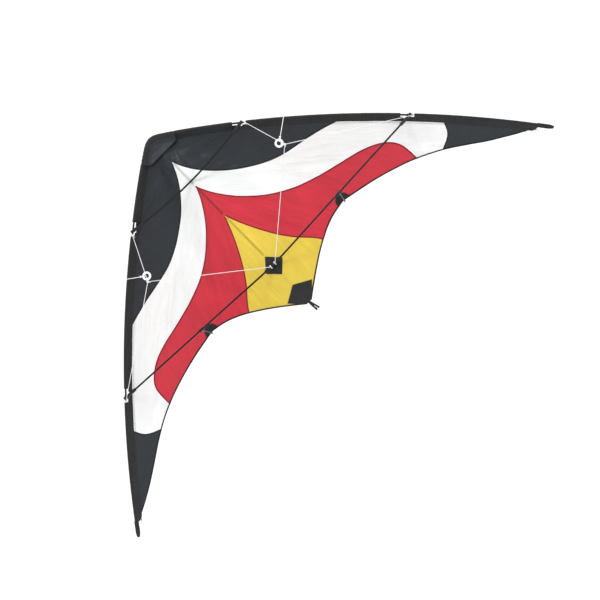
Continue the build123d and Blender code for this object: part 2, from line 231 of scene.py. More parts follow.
def ripstop(name, colour, see_through, roughness, shine, contrast):
    """Thin coated nylon: plain weave, thicker threads in a 5 mm grid, pull lines and fine crinkles; the pull
    lines also darken the colour in streaks as painted crease shade.
    """
    s = Shader(name)
    place, u, v = s.rest_place()
    grid_pitch, grid_width, weave_pitch = 0.005, 0.0004, 0.0006
    grid = s.maths("MAXIMUM", *(s.grid_line(way, grid_pitch, grid_width) for way in (u, v)))
    weave = s.maths("MULTIPLY", s.threads(u, weave_pitch), s.threads(v, weave_pitch))
    broad = s.scale_noise(place, 7.0, 3.0)
    fine = s.scale_noise(place, 160.0, 4.0)
    stretched = s.vector_maths("MULTIPLY", {0: place, 1: (8.0, 44.0, 1.0)})
    pulled = s.scale_noise(stretched, 1.0, 3.0)
    # painted shade: the pull-line noise darkens the cloth's colour in streaks where the creases would be
    # shaded, mixed with random mottle
    tone = s.maths("MULTIPLY", s.maths("ADD", broad, pulled), 0.5)
    dark = shade(colour, 1 - contrast)
    mottle_and_crease_shade = s.blend_colours(s.remap(tone, 0.36, 0.62, 0.0, 1.0), dark, shade(colour, 1.05))
    worn = s.blend_colours(s.remap(fine, 0.35, 0.75, 0.0, 0.35), mottle_and_crease_shade, dark)
    cloth = s.blend_colours(s.maths("MULTIPLY", grid, 0.35), worn, shade(colour, 0.72))
    relief = s.maths("ADD", s.maths("MULTIPLY", weave, 0.06), s.maths("MULTIPLY", grid, 0.22))
    relief = s.maths("ADD", relief, s.scale_noise(place, 55.0, 5.0))
    relief = s.maths("ADD", relief, s.maths("MULTIPLY", pulled, 15.0))
    normal = s.bump(relief, 0.0004)
    gloss = s.remap(broad, 0.3, 0.7, roughness - 0.07, roughness + 0.07)
    lit = s.surface(cloth, gloss, normal, {"Specular IOR Level": shine})
    through = s.node("ShaderNodeBsdfTranslucent", {"Color": cloth, "Normal": normal})
    both = s.node("ShaderNodeMixShader", {0: see_through, 1: lit, 2: through.outputs[0]})
    return s.finish(both.outputs[0])


def woven(name, colour, pitch, roughness):
    """Heavy cloth or webbing: a coarse weave, lint, and high threads painted paler, partly as wear and
    partly as painted highlight, with painted shade between them.
    """
    s = Shader(name)
    place, u, v = s.rest_place()
    weave = s.maths("MULTIPLY", s.threads(u, pitch), s.threads(v, pitch))
    lint = s.scale_noise(place, 420.0, 4.0)
    broad = s.scale_noise(place, 22.0, 3.0)
    # painted light: raised threads are painted paler, partly wear and partly painted highlight, and the gaps
    # between them darker as painted shade
    high = s.remap(weave, 0.1, 1.0, 0.0, 0.5)
    threads = s.blend_colours(high, shade(colour, 0.8), shade(colour, 1.5))
    dusty = s.blend_colours(s.remap(lint, 0.5, 0.8, 0.0, 0.5), threads, shade(colour, 1.9))
    cloth = s.blend_colours(s.remap(broad, 0.35, 0.7, 0.0, 0.6), dusty, shade(colour, 0.75))
    relief = s.maths("ADD", s.maths("MULTIPLY", weave, 0.5), s.maths("MULTIPLY", lint, 0.4))
    gloss = s.remap(broad, 0.3, 0.7, roughness - 0.06, roughness + 0.08)
    normal = s.bump(relief, pitch * 0.3)
    return s.finish(s.surface(cloth, gloss, normal, {"Sheen Weight": 0.05, "Specular IOR Level": 0.3}))


def braid(name, colour, strand):
    """Braided or twisted line; the attribute holds the length along it and the turn round it."""
    s = Shader(name)
    place, along, around = s.rest_place()
    turned = s.maths("MULTIPLY", around, strand)
    crossing = (s.threads(s.maths(way, along, turned), strand) for way in ("ADD", "SUBTRACT"))
    diamond = s.maths("MULTIPLY", *crossing)
    fuzz = s.scale_noise(place, 900.0, 3.0)
    groove = s.remap(diamond, -1.0, 1.0, 0.0, 1.0)
    # painted shade: the grooves between the strands are painted darker
    cloth = s.blend_colours(groove, shade(colour, 0.78), colour)
    cloth = s.blend_colours(s.remap(fuzz, 0.4, 0.8, 0.0, 0.3), cloth, shade(colour, 0.85))
    relief = s.maths("ADD", groove, s.maths("MULTIPLY", fuzz, 0.3))
    normal = s.bump(relief, strand * 0.15)
    gloss = s.remap(fuzz, 0, 1, 0.5, 0.75)
    return s.finish(s.surface(cloth, gloss, normal, {"Sheen Weight": 0.2}))


def glass_fibre(name, colour, direction, roughness):
    """A pultruded rod: long fine streaks, the odd pale fibre and a satin skin."""
    s = Shader(name)
    place = s.node("ShaderNodeTexCoord").outputs["Object"]
    run = Vector(direction).normalized()
    along = s.vector_maths("DOT_PRODUCT", {0: place, 1: run}, "Value")
    shift = s.vector_maths("SCALE", {0: run, "Scale": along})
    held = s.vector_maths("SCALE", {0: shift, "Scale": 0.96})
    drawn = s.vector_maths("SUBTRACT", {0: place, 1: held})
    streak = s.scale_noise(drawn, 1600.0, 3.0)
    scuff = s.scale_noise(place, 60.0, 4.0)
    skin = s.blend_colours(s.remap(streak, 0.45, 0.7, 0.0, 0.7), colour, shade(colour, 1.8))
    skin = s.blend_colours(s.remap(scuff, 0.55, 0.8, 0.0, 0.5), skin, shade(colour, 2.2))
    gloss = s.remap(scuff, 0.3, 0.7, roughness - 0.08, roughness + 0.12)
    normal = s.bump(streak, 0.00006)
    return s.finish(s.surface(skin, gloss, normal, {"Specular IOR Level": 0.18}))


def moulded(name, colour, roughness, bump_size, coat, shine):
    """Moulded plastic or vinyl: a fine pebble, flow marks and rubbed, paler places."""
    s = Shader(name)
    place = s.node("ShaderNodeTexCoord").outputs["Object"]
    pebble = s.scale_noise(place, 1400.0, 2.0)
    flow = s.scale_noise(place, 110.0, 4.0)
    body = s.blend_colours(s.remap(flow, 0.35, 0.7, 0.0, 1.0), shade(colour, 0.85), shade(colour, 1.2))
    body = s.blend_colours(s.remap(pebble, 0.55, 0.8, 0.0, 0.4), body, shade(colour, 1.35))
    gloss = s.remap(flow, 0.3, 0.7, roughness - 0.06, roughness + 0.1)
    normal = s.bump(s.maths("ADD", pebble, flow), bump_size)
    return s.finish(s.surface(body, gloss, normal, {"Coat Weight": coat, "Specular IOR Level": shine}))


def brushed_metal(name, colour):
    """Drawn metal with fine brush marks."""
    s = Shader(name)
    place = s.node("ShaderNodeTexCoord").outputs["Object"]
    brush = s.scale_noise(place, 700.0, 5.0)
    body = s.blend_colours(brush, shade(colour, 0.7), colour)
    gloss = s.remap(brush, 0.3, 0.7, 0.25, 0.45)
    normal = s.bump(brush, 0.00005)
    return s.finish(s.surface(body, gloss, normal, {"Metallic": 1.0}))


def floor_paper():
    """Plain pale paper with a faint grain."""
    s = Shader("floor_paper")
    place = s.node("ShaderNodeTexCoord").outputs["Object"]
    grain = s.scale_noise(place, 30.0, 3.0)
    tone = s.blend_colours(grain, rgb(0.97, 0.97, 0.97), rgb(1.0, 1.0, 1.0))
    lit = s.node("ShaderNodeBsdfPrincipled", {"Base Color": tone, "Roughness": 0.9})
    return s.finish(lit.outputs[0])


BLACK = rgb(0.014, 0.018, 0.023)
WHITE = rgb(0.835, 0.84, 0.84)
RED = rgb(0.61, 0.024, 0.046)
YELLOW = rgb(0.77, 0.59, 0.066)

# each maker's materials, with the colour and the settings that the maker takes
MATERIAL_SETTINGS = {
    ripstop: {
        "black_ripstop": (BLACK, 0.06, 0.40, 0.30, 0.17),
        "white_ripstop": (WHITE, 0.24, 0.55, 0.40, 0.07),
        "red_ripstop": (RED, 0.24, 0.46, 0.40, 0.17),
        "yellow_ripstop": (YELLOW, 0.24, 0.48, 0.40, 0.17),
        "black_fold": (rgb(0.010, 0.011, 0.013), 0.03, 0.50, 0.25, 0.17),
        "red_fold": (rgb(0.27, 0.017, 0.028), 0.08, 0.55, 0.25, 0.17),
        # the white and yellow folds, and the red fold along the spine, are darkened as the painted shadow of
        # the spine seen through the sail
        "white_fold": (rgb(0.70, 0.70, 0.69), 0.12, 0.60, 0.25, 0.17),
        "yellow_fold": (rgb(0.62, 0.44, 0.05), 0.12, 0.55, 0.25, 0.17),
    },
    woven: {
        "sleeve_cloth": (rgb(0.012, 0.0128, 0.0142), 0.0009, 0.72),
        "patch_cloth": (rgb(0.012, 0.012, 0.013), 0.0014, 0.66),
        "seam_tape": (rgb(0.04, 0.04, 0.045), 0.0008, 0.65),
        "webbing": (rgb(0.011, 0.011, 0.012), 0.0018, 0.62),
    },
    braid: {
        "black_thread": (rgb(0.02, 0.02, 0.022), 0.0008),
        "red_thread": (rgb(0.25, 0.02, 0.03), 0.0008),
        "bridle_line": (rgb(0.83, 0.83, 0.82), 0.0016),
        "flying_line": (rgb(0.86, 0.86, 0.85), 0.0014),
    },
    moulded: {
        "vinyl": (rgb(0.007, 0.007, 0.008), 0.30, 0.00008, 0.03, 0.25),
        "moulded_cap": (rgb(0.009, 0.009, 0.010), 0.36, 0.00008, 0.0, 0.25),
        "ring_plastic": (rgb(0.84, 0.84, 0.82), 0.30, 0.00004, 0.4, 0.5),
    },
    brushed_metal: {"ferrule": (rgb(0.55, 0.56, 0.58),)},
}
MATERIALS = {
    name: make(name, *settings)
    for make, rows in MATERIAL_SETTINGS.items() for name, settings in rows.items()
}


# --- shapes: the leading edge and the sail --------------------------------------------------
class Arc:
    """A circular arc through three points, read by the fraction of its length."""

    def __init__(self, first, middle, last):
        a, b = first - last, middle - last
        normal = a.cross(b)
        lean = b * a.length_squared - a * b.length_squared
        self.centre = last + lean.cross(normal) * (0.5 / normal.length_squared)
        self.first = first - self.centre
        self.axis = self.first.cross(middle - self.centre).normalized()
        halves = self.first.angle(middle - self.centre), (middle - self.centre).angle(last - self.centre)
        self.turn = sum(halves)
        self.length = self.turn * self.first.length

    def at(self, fraction):
        """The point at a fraction of the arc."""
        return self.centre + Matrix.Rotation(self.turn * fraction, 3, self.axis) @ self.first

    def run(self, fraction):
        """The unit vector along the arc there."""
        return self.axis.cross(self.at(fraction) - self.centre).normalized()


edge = Arc(*EDGE_POINTS)
EDGE_TABLE = np.array([edge.at(f) for f in np.linspace(0.0, 1.0, 400)])
EDGE_REACH = np.hypot(EDGE_TABLE[:, 0], NOSE_Z - EDGE_TABLE[:, 2])
EDGE_ANGLE = np.arctan2(EDGE_TABLE[:, 0], NOSE_Z - EDGE_TABLE[:, 2])
LOWER_POINT = edge.at(LOWER_CONNECTOR_AT)
LOWER_RUN = (LOWER_POINT - TEE).normalized()


def inward(fraction):
    """Square to the leading edge, in the plane of the front view, towards the sail."""
    run = edge.run(fraction)
    return Vector((run.z, 0.0, -run.x)).normalized()


def smooth_line(points):
    """Points every 4 mm or so along the natural cubic through the given (x, z) points."""
    knots = np.array(points, float)
    lengths = np.concatenate([[0], np.cumsum(np.linalg.norm(np.diff(knots, axis=0), axis=1))])
    gaps = np.diff(lengths)
    count = len(knots)
    system, target = np.eye(count), np.zeros_like(knots)
    for i in range(1, count - 1):
        system[i, i - 1:i + 2] = gaps[i - 1], 2 * (gaps[i - 1] + gaps[i]), gaps[i]
        target[i] = 6 * ((knots[i + 1] - knots[i]) / gaps[i] - (knots[i] - knots[i - 1]) / gaps[i - 1])
    bends = np.linalg.solve(system, target)
    places = np.linspace(0, lengths[-1], max(3, int(lengths[-1] / 0.004)))
    span = np.clip(np.searchsorted(lengths, places, side="right") - 1, 0, count - 2)
    gap = gaps[span][:, None]
    after = (places - lengths[span])[:, None]
    before = gap - after
    return (
        (bends[span] * before**3 + bends[span + 1] * after**3) / (6 * gap)
        + (knots[span] / gap - bends[span] * gap / 6) * before
        + (knots[span + 1] / gap - bends[span + 1] * gap / 6) * after
    )


class Wing:
    """One wing's curved surface. side is 1 for the right wing and -1 for the left."""

    def __init__(self, side):
        self.side = side
        self.name = "right" if side > 0 else "left"
        self.body = f"{self.name}_wing"
        draw = random.Random(41 + side)
        self.swells = [
            (draw.uniform(0, FULL_TURN), draw.uniform(0.07, 0.16), draw.uniform(0, 6.28)) for _ in range(7)
        ]
        # each fan's x and z, height, reach and number of ridges in a full turn
        fans = (
            (0.262, 0.010, 0.0032, 0.14, 9), (0.745, -0.215, 0.0026, 0.20, 22),
            (0.03, 0.43, 0.0020, 0.15, 12), (0.01, -0.13, 0.0024, 0.12, 9),
            (0.53, 0.03, 0.0020, 0.10, 7), (0.20, 0.33, 0.0014, 0.09, 7),
        )
        self.fans = [(*fan, draw.uniform(0, 6.28)) for fan in fans]
        self.pucker = draw.uniform(0, 6.28)

    def creases(self, x, z, across):
        """Pull lines that fan from the corners, broad swells, and puckers along the sleeve."""
        height = np.zeros_like(x)
        for heading, wave, phase in self.swells:
            along = x * math.cos(heading) + z * math.sin(heading)
            height += 0.00050 * np.sin(along * FULL_TURN / wave + phase)
        for fan_x, fan_z, size, reach, count, phase in self.fans:
            away = np.hypot(x - fan_x, z - fan_z)
            angle = np.arctan2(z - fan_z, x - fan_x)
            ridge = np.abs(np.sin(angle * count / 2 + phase + 0.6 * np.sin(angle * 3)))**3
            height += size * ridge * np.exp(-away / reach) * np.clip(away / 0.03, 0, 1)
        reach = np.hypot(x, NOSE_Z - z)
        from_edge = reach * (1 - across)
        height += 0.00035 * np.sin(reach * FULL_TURN / 0.023 + self.pucker) * np.exp(-from_edge / 0.018)
        return height * np.clip(across / 0.06, 0, 1)

    def depth(self, x, z):
        """The sail's y: a cone from the nose that bellies back between the spine and the edge."""
        reach = np.hypot(x, NOSE_Z - z)
        whole = np.interp(reach, EDGE_REACH, EDGE_ANGLE)
        edge_y = np.interp(reach, EDGE_REACH, EDGE_TABLE[:, 1])
        across = np.clip(np.arctan2(x, NOSE_Z - z) / whole, 0, 1)
        belly = BILLOW * reach * np.sin(math.pi * across**1.15)
        return belly + edge_y * across**2 + self.creases(x, z, across)

    def surface(self, flat, lift=0.0):
        """Points on the sail at the (x, z) of the front view, lift in front of it."""
        flat = np.asarray(flat, float)
        placed = np.column_stack([flat[:, 0], self.depth(flat[:, 0], flat[:, 1]), flat[:, 1]])
        return placed + self.normals(flat) * lift

    def normals(self, flat):
        """Unit normals that face the flyer."""
        flat = np.asarray(flat, float)
        small = 0.0008
        x, z = flat[:, 0], flat[:, 1]
        by_x = (self.depth(x + small, z) - self.depth(x - small, z)) / (2 * small)
        by_z = (self.depth(x, z + small) - self.depth(x, z - small)) / (2 * small)
        found = np.column_stack([np.where(x < 1e-6, 0.0, by_x), -np.ones_like(x), by_z])
        return found / np.linalg.norm(found, axis=1)[:, None]


# --- meshes ---------------------------------------------------------------------------------
def add_piece(name, wing, shape, material):
    """A mesh piece from (vertices, faces, cloth). A left wing's is the mirror image of the shape."""
    vertices, faces, cloth = shape
    vertices = np.array(vertices, float)
    if wing is not None and wing.side < 0:
        vertices[:, 0] *= -1
        faces = [tuple(reversed(face)) for face in faces]
    mesh = bpy.data.meshes.new(name)
    mesh.from_pydata(vertices.tolist(), [], [tuple(int(i) for i in face) for face in faces])
    attribute = mesh.attributes.new("cloth", "FLOAT_VECTOR", "POINT")
    attribute.data.foreach_set("vector", np.asarray(cloth, np.float32).ravel())
    mesh.materials.append(material)
    mesh.polygons.foreach_set("use_smooth", [True] * len(mesh.polygons))
    mesh.set_sharp_from_angle(angle=SHARP_ANGLE)
    piece = bpy.data.objects.new(name, mesh)
    bpy.context.scene.collection.objects.link(piece)
    return piece


def across_spine(piece):
    """The piece's transform is baked into its mesh."""
    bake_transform(piece)


def place_piece(name, wing, shape, material, body=None, node=None):
    """Add a piece that may stand for a CAD node. Without a body to ride on, its transform is baked into its
    mesh.
    """
    piece = add_piece(name, wing, shape, MATERIALS[material])
    if node:
        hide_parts(node)
    if body:
        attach(piece, body)
    else:
        across_spine(piece)
    return piece


def thickened(vertices, normals, faces, thickness):
    """A closed thin shell: the sheet, its back, and a rim along each open edge."""
    vertices, normals = np.asarray(vertices), np.asarray(normals)
    count = len(vertices)
    used = {}
    for face in faces:
        for a, b in zip(face, tuple(face[1:]) + (face[0],)):
            used[(a, b)] = used.get((a, b), 0) + 1
    shell = np.vstack([vertices + normals * thickness / 2, vertices - normals * thickness / 2])
    backs = [tuple(i + count for i in reversed(face)) for face in faces]
    rims = [(b, a, a + count, b + count) for a, b in used if (b, a) not in used]
    return shell, list(faces) + backs + rims


def sweep(points, sides, normals, section, closed=False):
    """A section of (side, normal) offsets carried along points, with flat end caps unless closed."""
    points, sides, normals = np.asarray(points), np.asarray(sides), np.asarray(normals)
    section = np.asarray(section, float)
    if section.ndim == 2:
        section = np.repeat(section[None], len(points), axis=0)
    count, turns = section.shape[:2]
    rings = points[:, None] + sides[:, None] * section[:, :, :1] + normals[:, None] * section[:, :, 1:]
    steps = np.linalg.norm(np.diff(points, axis=0), axis=1)
    along = np.concatenate([[0], np.cumsum(steps)])
    around = np.linspace(0, 1, turns, endpoint=False)
    lengths, turned = np.repeat(along[:, None], turns, 1), np.tile(around, (count, 1))
    cloth = np.stack([lengths, turned, section[:, :, 0]], axis=2)
    faces = []
    for i in range(count if closed else count - 1):
        j = (i + 1) % count
        for k in range(turns):
            m = (k + 1) % turns
            faces.append((i * turns + k, i * turns + m, j * turns + m, j * turns + k))
    if not closed:
        faces.append(tuple(range(turns - 1, -1, -1)))
        faces.append(tuple((count - 1) * turns + k for k in range(turns)))
    return rings.reshape(-1, 3), faces, cloth.reshape(-1, 3)


def turned_frames(points, hint=(0.0, -1.0, 0.0), closed=False):
    """Sides and normals that twist as little as they can along the points."""
    points = np.asarray(points, float)
    runs = np.gradient(points, axis=0)
    if closed:
        runs = np.roll(points, -1, axis=0) - np.roll(points, 1, axis=0)
    runs /= np.linalg.norm(runs, axis=1)[:, None]
    normal = np.array(hint, float)
    normals = []
    for run in runs:
        normal = normal - run * normal.dot(run)
        normal /= np.linalg.norm(normal)
        normals.append(normal)
    normals = np.array(normals)
    return np.cross(normals, runs), normals


def circle(radius, count=10):
    """The section of a round line or tube."""
    turns = np.linspace(0, FULL_TURN, count, endpoint=False)
    return [(radius * math.cos(t), radius * math.sin(t)) for t in turns]


def flat_band(width, thickness):
    """The section of a flat band with rounded edges."""
    points = []
    half_width, half = width / 2 - thickness / 2, thickness / 2
    for sign in (1, -1):
        for turn in (-math.pi / 2, 0.0, math.pi / 2):
            points.append((sign * (half_width + math.cos(turn) * half), sign * math.sin(turn) * half))
        for share in (0.5, 0.0, -0.5):
            points.append((sign * share * (width - thickness), sign * half))
    return points


def cord_mesh(points, radius, closed=False):
    """Round line along points. The hint lies along no line of the bridle, so no frame flips."""
    sides, normals = turned_frames(points, (0.13, -0.9, 0.2), closed)
    return sweep(points, sides, normals, circle(radius), closed)


def joined(parts):
    """Several (vertices, faces, cloth) as one."""
    vertices, faces, cloth, offset = [], [], [], 0
    for part_vertices, part_faces, part_cloth in parts:
        vertices.append(part_vertices)
        cloth.append(part_cloth)
        faces.extend(tuple(i + offset for i in face) for face in part_faces)
        offset += len(part_vertices)
    return np.vstack(vertices), faces, np.vstack(cloth)


def inside(points, outline):
    """Which points lie within a closed (x, z) outline."""
    x, z = points[:, 0], points[:, 1]
    found = np.zeros(len(points), bool)
    for (x0, z0), (x1, z1) in zip(outline, np.roll(outline, -1, axis=0)):
        crosses = (z0 > z) != (z1 > z)
        with np.errstate(divide="ignore", invalid="ignore"):
            at = (x1 - x0) * (z - z0) / (z1 - z0) + x0
        found ^= crosses & (x < at)
    return found


def flat_triangles(outline, seams, spacing):
    """Triangles over an outline whose edges follow it and the seams that cross it."""
    points, edges = [], []
    for line, closed in [(outline, True)] + [(seam, False) for seam in seams]:
        first = len(points)
        points.extend(map(tuple, line))
        edges.extend((first + i, first + i + 1) for i in range(len(line) - 1))
        if closed:
            edges.append((first + len(line) - 1, first))
    fixed = np.array(points)
    low, high = np.min(outline, axis=0), np.max(outline, axis=0)
    rows, columns = np.arange(low[1], high[1], spacing * 0.866), np.arange(low[0], high[0], spacing)
    grid = np.array([(x + (spacing / 2 if i % 2 else 0), z) for i, z in enumerate(rows) for x in columns])
    grid = grid[inside(grid, np.asarray(outline))]
    apart = [np.min(np.hypot(*(fixed - point).T)) > spacing * 0.55 for point in grid]
    points.extend(map(tuple, grid[np.array(apart)]))
    made = delaunay_2d_cdt([Vector(point) for point in points], edges, [], 0, 1e-7)
    flat = np.array([tuple(v) for v in made[0]])
    triangles = np.array([tuple(face) for face in made[2]])
    kept = triangles[inside(flat[triangles].mean(axis=1), np.asarray(outline))]
    return flat, kept


def facing_flyer(flat, triangles):
    """Triangles that all turn one way, as faces turned to the flyer."""
    faces = [tuple(int(i) for i in face) for face in triangles]
    a, b, c = (flat[i] for i in faces[0])
    turn = (b[0] - a[0]) * (c[1] - a[1]) - (c[0] - a[0]) * (b[1] - a[1])
    return [tuple(reversed(face)) for face in faces] if turn < 0 else faces


def surface_shell(wing, flat, triangles, lift, thickness):
    """Flat triangles laid on the sail as a closed thin shell, with the cloth's own coordinates."""
    used, index = np.unique(triangles, return_inverse=True)
    flat = flat[used]
    faces = facing_flyer(flat, index.reshape(-1, 3))
    shell, shell_faces = thickened(wing.surface(flat, lift), wing.normals(flat), faces, thickness)
    cloth = np.column_stack([np.tile(flat, (2, 1)), np.repeat([0.0, thickness], len(flat))])
    return shell, shell_faces, cloth


def flat_sides(line):
    """Unit vectors to the right of the way along a line in the front view."""
    runs = np.gradient(np.asarray(line), axis=0)
    runs /= np.linalg.norm(runs, axis=1)[:, None]
    return np.column_stack([runs[:, 1], -runs[:, 0]])


def surface_frames(wing, line, lift):
    """Places, sides and normals along a line of the front view, laid on the sail."""
    places, normals = wing.surface(line, lift), wing.normals(line)
    runs = np.gradient(places, axis=0)
    sides = np.cross(runs, normals)
    sides /= np.linalg.norm(sides, axis=1)[:, None]
    return places, sides, np.cross(sides, runs / np.linalg.norm(runs, axis=1)[:, None])


def surface_band(wing, line, width, thickness, lift):
    """A narrow band of cloth laid along a line of the sail."""
    return sweep(*surface_frames(wing, line, lift), flat_band(width, thickness))


def zigzag(wing, line, lift, half_width=0.0011):
    """A machine zigzag of thread along a line of the sail."""
    pitch, thread_radius = 0.0028, 0.00022
    line = np.asarray(line)
    steps = np.concatenate([[0], np.cumsum(np.linalg.norm(np.diff(line, axis=0), axis=1))])
    places = np.arange(0.001, steps[-1] - 0.001, pitch / 2)
    path = np.column_stack([np.interp(places, steps, line[:, 0]), np.interp(places, steps, line[:, 1])])
    swing = np.where(np.arange(len(path)) % 2, 1, -1)[:, None] * half_width
    path = path + flat_sides(path) * swing
    sides, normals = turned_frames(wing.surface(path, lift))
    return sweep(wing.surface(path, lift), sides, normals, circle(thread_radius, 5))


# --- the sail -------------------------------------------------------------------------------
def edge_line(distance, first, last):
    """A line beside the leading edge, distance towards the sail, in the (x, z) of the front view."""
    fractions = np.linspace(first, last, int((last - first) * edge.length / 0.004))
    points = [edge.at(f) + inward(f) * distance for f in fractions]
    return [(point.x, point.z) for point in points]


def trailing_line():
    """The wing's lower edge, from the spine to the tip."""
    inner, outer = smooth_line(TRAILING_INNER), smooth_line(TRAILING_OUTER)
    return np.vstack([inner, outer[1:]])


def wing_outline():
    """The spine, the trailing edge, the tip and the sewn line of the leading edge's sleeve."""
    trailing = trailing_line()
    top = POCKET_BOTTOM + 0.010
    leading = [p for p in edge_line(0.012, 0.03, 0.965) if p[1] < top]
    spine = [(0.0, z) for z in np.arange(top, trailing[0][1], -0.004)]
    return np.vstack([trailing, leading[::-1], spine, [(0.0, trailing[0][1])]])


seam_lines = {name: smooth_line(points) for name, points in
              (("nose", NOSE_SEAM), ("heart", HEART_SEAM), ("star", STAR_SEAM), ("tip", TIP_SEAM))}
outline = wing_outline()
# for each panel, the angle its cloth is cut at in degrees, and its colour
GRAIN = {"nose": 12.0, "white": 40.0, "red": 62.0, "yellow": 90.0, "tip": -38.0}
COLOURS = {"nose": "black_ripstop", "white": "white_ripstop", "red": "red_ripstop",
           "yellow": "yellow_ripstop", "tip": "black_ripstop"}


def beyond(points, seam, corners):
    """Which points lie between a seam's line and the corners beyond it."""
    return inside(points, np.vstack([seam_lines[seam], corners]))


def panel_masks(flat, triangles):
    """Which triangles belong to each sewn panel."""
    middles = flat[triangles].mean(axis=1)
    nose = beyond(middles, "nose", [(0.440, 0.520), (-0.004, 0.520)])
    heart = beyond(middles, "heart", [(0.488, -0.160), (-0.004, -0.160)])
    star = beyond(middles, "star", [(0.150, -0.160), (-0.004, -0.160)])
    tip = beyond(middles, "tip", [(0.520, -0.260), (0.820, -0.300), (0.820, -0.010)])
    white, red = ~nose & ~heart & ~tip, heart & ~star & ~tip
    return {"nose": nose, "white": white, "red": red, "yellow": star, "tip": tip & ~nose}


def make_panels(wing):
    """The five sewn panels of a wing, each with its cloth cut at its own angle."""
    flat, triangles = flat_triangles(outline, seam_lines.values(), 0.0048)
    for name, mask in panel_masks(flat, triangles).items():
        shell, faces, cloth = surface_shell(wing, flat, triangles[mask], 0.0, CLOTH)
        turn = math.radians(GRAIN[name])
        grain = np.array([[math.cos(turn), -math.sin(turn)], [math.sin(turn), math.cos(turn)]])
        cloth[:, :2] = cloth[:, :2] @ grain.T
        panel = place_piece(
            f"{wing.name}_{name}_cloth", wing, (shell, faces, cloth), COLOURS[name],
            body=wing.body if name == "tip" else None, node=f"{wing.name}_{name}_panel",
        )


def within_wing(line):
    """The part of a sewn line that lies on the wing."""
    line = np.asarray(line)
    kept = line[inside(line, outline)]
    return kept[kept[:, 0] > 0.0]


def make_seams(wing):
    """The doubled cloth of each seam, and its zigzag of thread."""
    seams = {"black": (("nose", -0.002), ("tip", -0.002)), "red": (("heart", 0.002), ("star", -0.002))}
    for tone, lines in seams.items():
        bands, threads = [], []
        for name, shift in lines:
            line = within_wing(seam_lines[name])
            beside = line + flat_sides(line) * shift
            bands.append(surface_band(wing, beside, 0.0030, FOLD, CLOTH * 1.2))
            threads.append(zigzag(wing, beside, CLOTH * 2.9))
        for kind, parts, material in (("seams", bands, "fold"), ("stitches", threads, "thread")):
            place_piece(f"{wing.name}_{tone}_{kind}", wing, joined(parts), f"{tone}_{material}")


def make_spine_fold_and_shadow(wing):
    """The wings' doubled edges along the spine, each a darker shade of its own panel's colour: partly the
    doubled cloth, partly the painted shadow of the spine seen through the sail.
    """
    for tone, top, bottom in (("white", 0.392, 0.312), ("red", 0.303, 0.194), ("yellow", 0.184, 0.036)):
        heights = np.arange(top, bottom, -0.005)
        line = np.column_stack([np.full(len(heights), 0.0016), heights])
        band = surface_band(wing, line, 0.0015, FOLD, CLOTH * 1.2)
        # painted shadow: the fold's darker colour stands for the spine's shadow showing through the cloth
        place_piece(f"{wing.name}_{tone}_spine_fold", wing, band, f"{tone}_fold")


def make_hem(wing):
    """The trailing edge's folded hem, bound round the cloth, and its stitches."""
    line = trailing_line()
    line = line[line[:, 0] > 0.0080]
    sides = flat_sides(line)
    band = surface_band(wing, line - sides * 0.0015, 0.0044, 0.0011, 0.0)
    stitches = zigzag(wing, line - sides * 0.0022, 0.0007)
    place_piece(f"{wing.name}_hem", wing, band, "black_fold", wing.body,
                f"{wing.name}_trailing_edge_hem")
    place_piece(f"{wing.name}_hem_stitches", wing, stitches, "black_thread", wing.body)


def sleeve_section():
    """Cloth pulled from round the rod to its sewn edge: points (down the sail, outward)."""
    tail_radius = 0.0010
    tail_at = SLEEVE_REACH - tail_radius
    lean = math.acos((SLEEVE_RADIUS - tail_radius) / tail_at)
    turns = np.linspace(lean, FULL_TURN - lean, 16)
    points = [(SLEEVE_RADIUS * math.cos(t), SLEEVE_RADIUS * math.sin(t)) for t in turns]
    turns = np.linspace(-lean, lean, 5)
    seam = [(tail_at + tail_radius * math.cos(t), tail_radius * math.sin(t)) for t in turns]
    start, finish = np.array(points[-1]), np.array(seam[0])
    lower = [tuple(start + (finish - start) * share) for share in (0.2, 0.4, 0.6, 0.8)]
    upper = [(a, -b) for a, b in reversed(lower)]
    return np.array(points + lower + seam + upper)


def edge_frames(wing, fractions):
    """Places along the leading edge, the way down the sail, and the way out of its face."""
    places = np.array([edge.at(f) for f in fractions])
    runs = np.array([edge.run(f) for f in fractions])
    sewn = [edge.at(f) + inward(f) * 0.0186 for f in fractions]
    downs = wing.surface([(point.x, point.z) for point in sewn]) - places
    downs -= runs * np.sum(downs * runs, axis=1)[:, None]
    downs /= np.linalg.norm(downs, axis=1)[:, None]
    outs = np.cross(downs, runs)
    outs *= np.sign(-outs[:, 1:2])
    return places, downs, outs


def cut_away(along, reach):
    """Whether the sleeve is open, along metres past an opening's middle and reach from the rod."""
    in_slot = np.abs(along) < SLEEVE_OPENING / 2
    beside_tube = np.abs(along - OPENING_SHIFT + 0.88 * reach) < 0.0080
    return bool(np.any(in_slot & ((reach < 0.0064) | (beside_tube & (reach < 0.0125)))))


def loosened(wing, section, along):
    """The sleeve's section at each place: it ripples, tucks in at the nose and narrows at the tip."""
    ripples = 0.00018 * np.sin(along * FULL_TURN / 0.031 + wing.pucker)
    ripples += 0.00012 * np.sin(along * FULL_TURN / 0.0117)
    tucked = 0.7 + 0.3 * np.clip((along - along[0]) / 0.0048, 0, 1)
    narrowed = 1.0 - 0.55 * np.clip((along - along[-1] + 0.016) / 0.016, 0, 1)**2
    sections = np.repeat(section[None], len(along), axis=0)
    sections[:, :, 1] *= (1 + ripples[:, None] / 0.0030) * tucked[:, None]
    sections[:, :, 0] *= np.where(sections[:, :, 0] < 0, tucked[:, None], narrowed[:, None])
    return sections


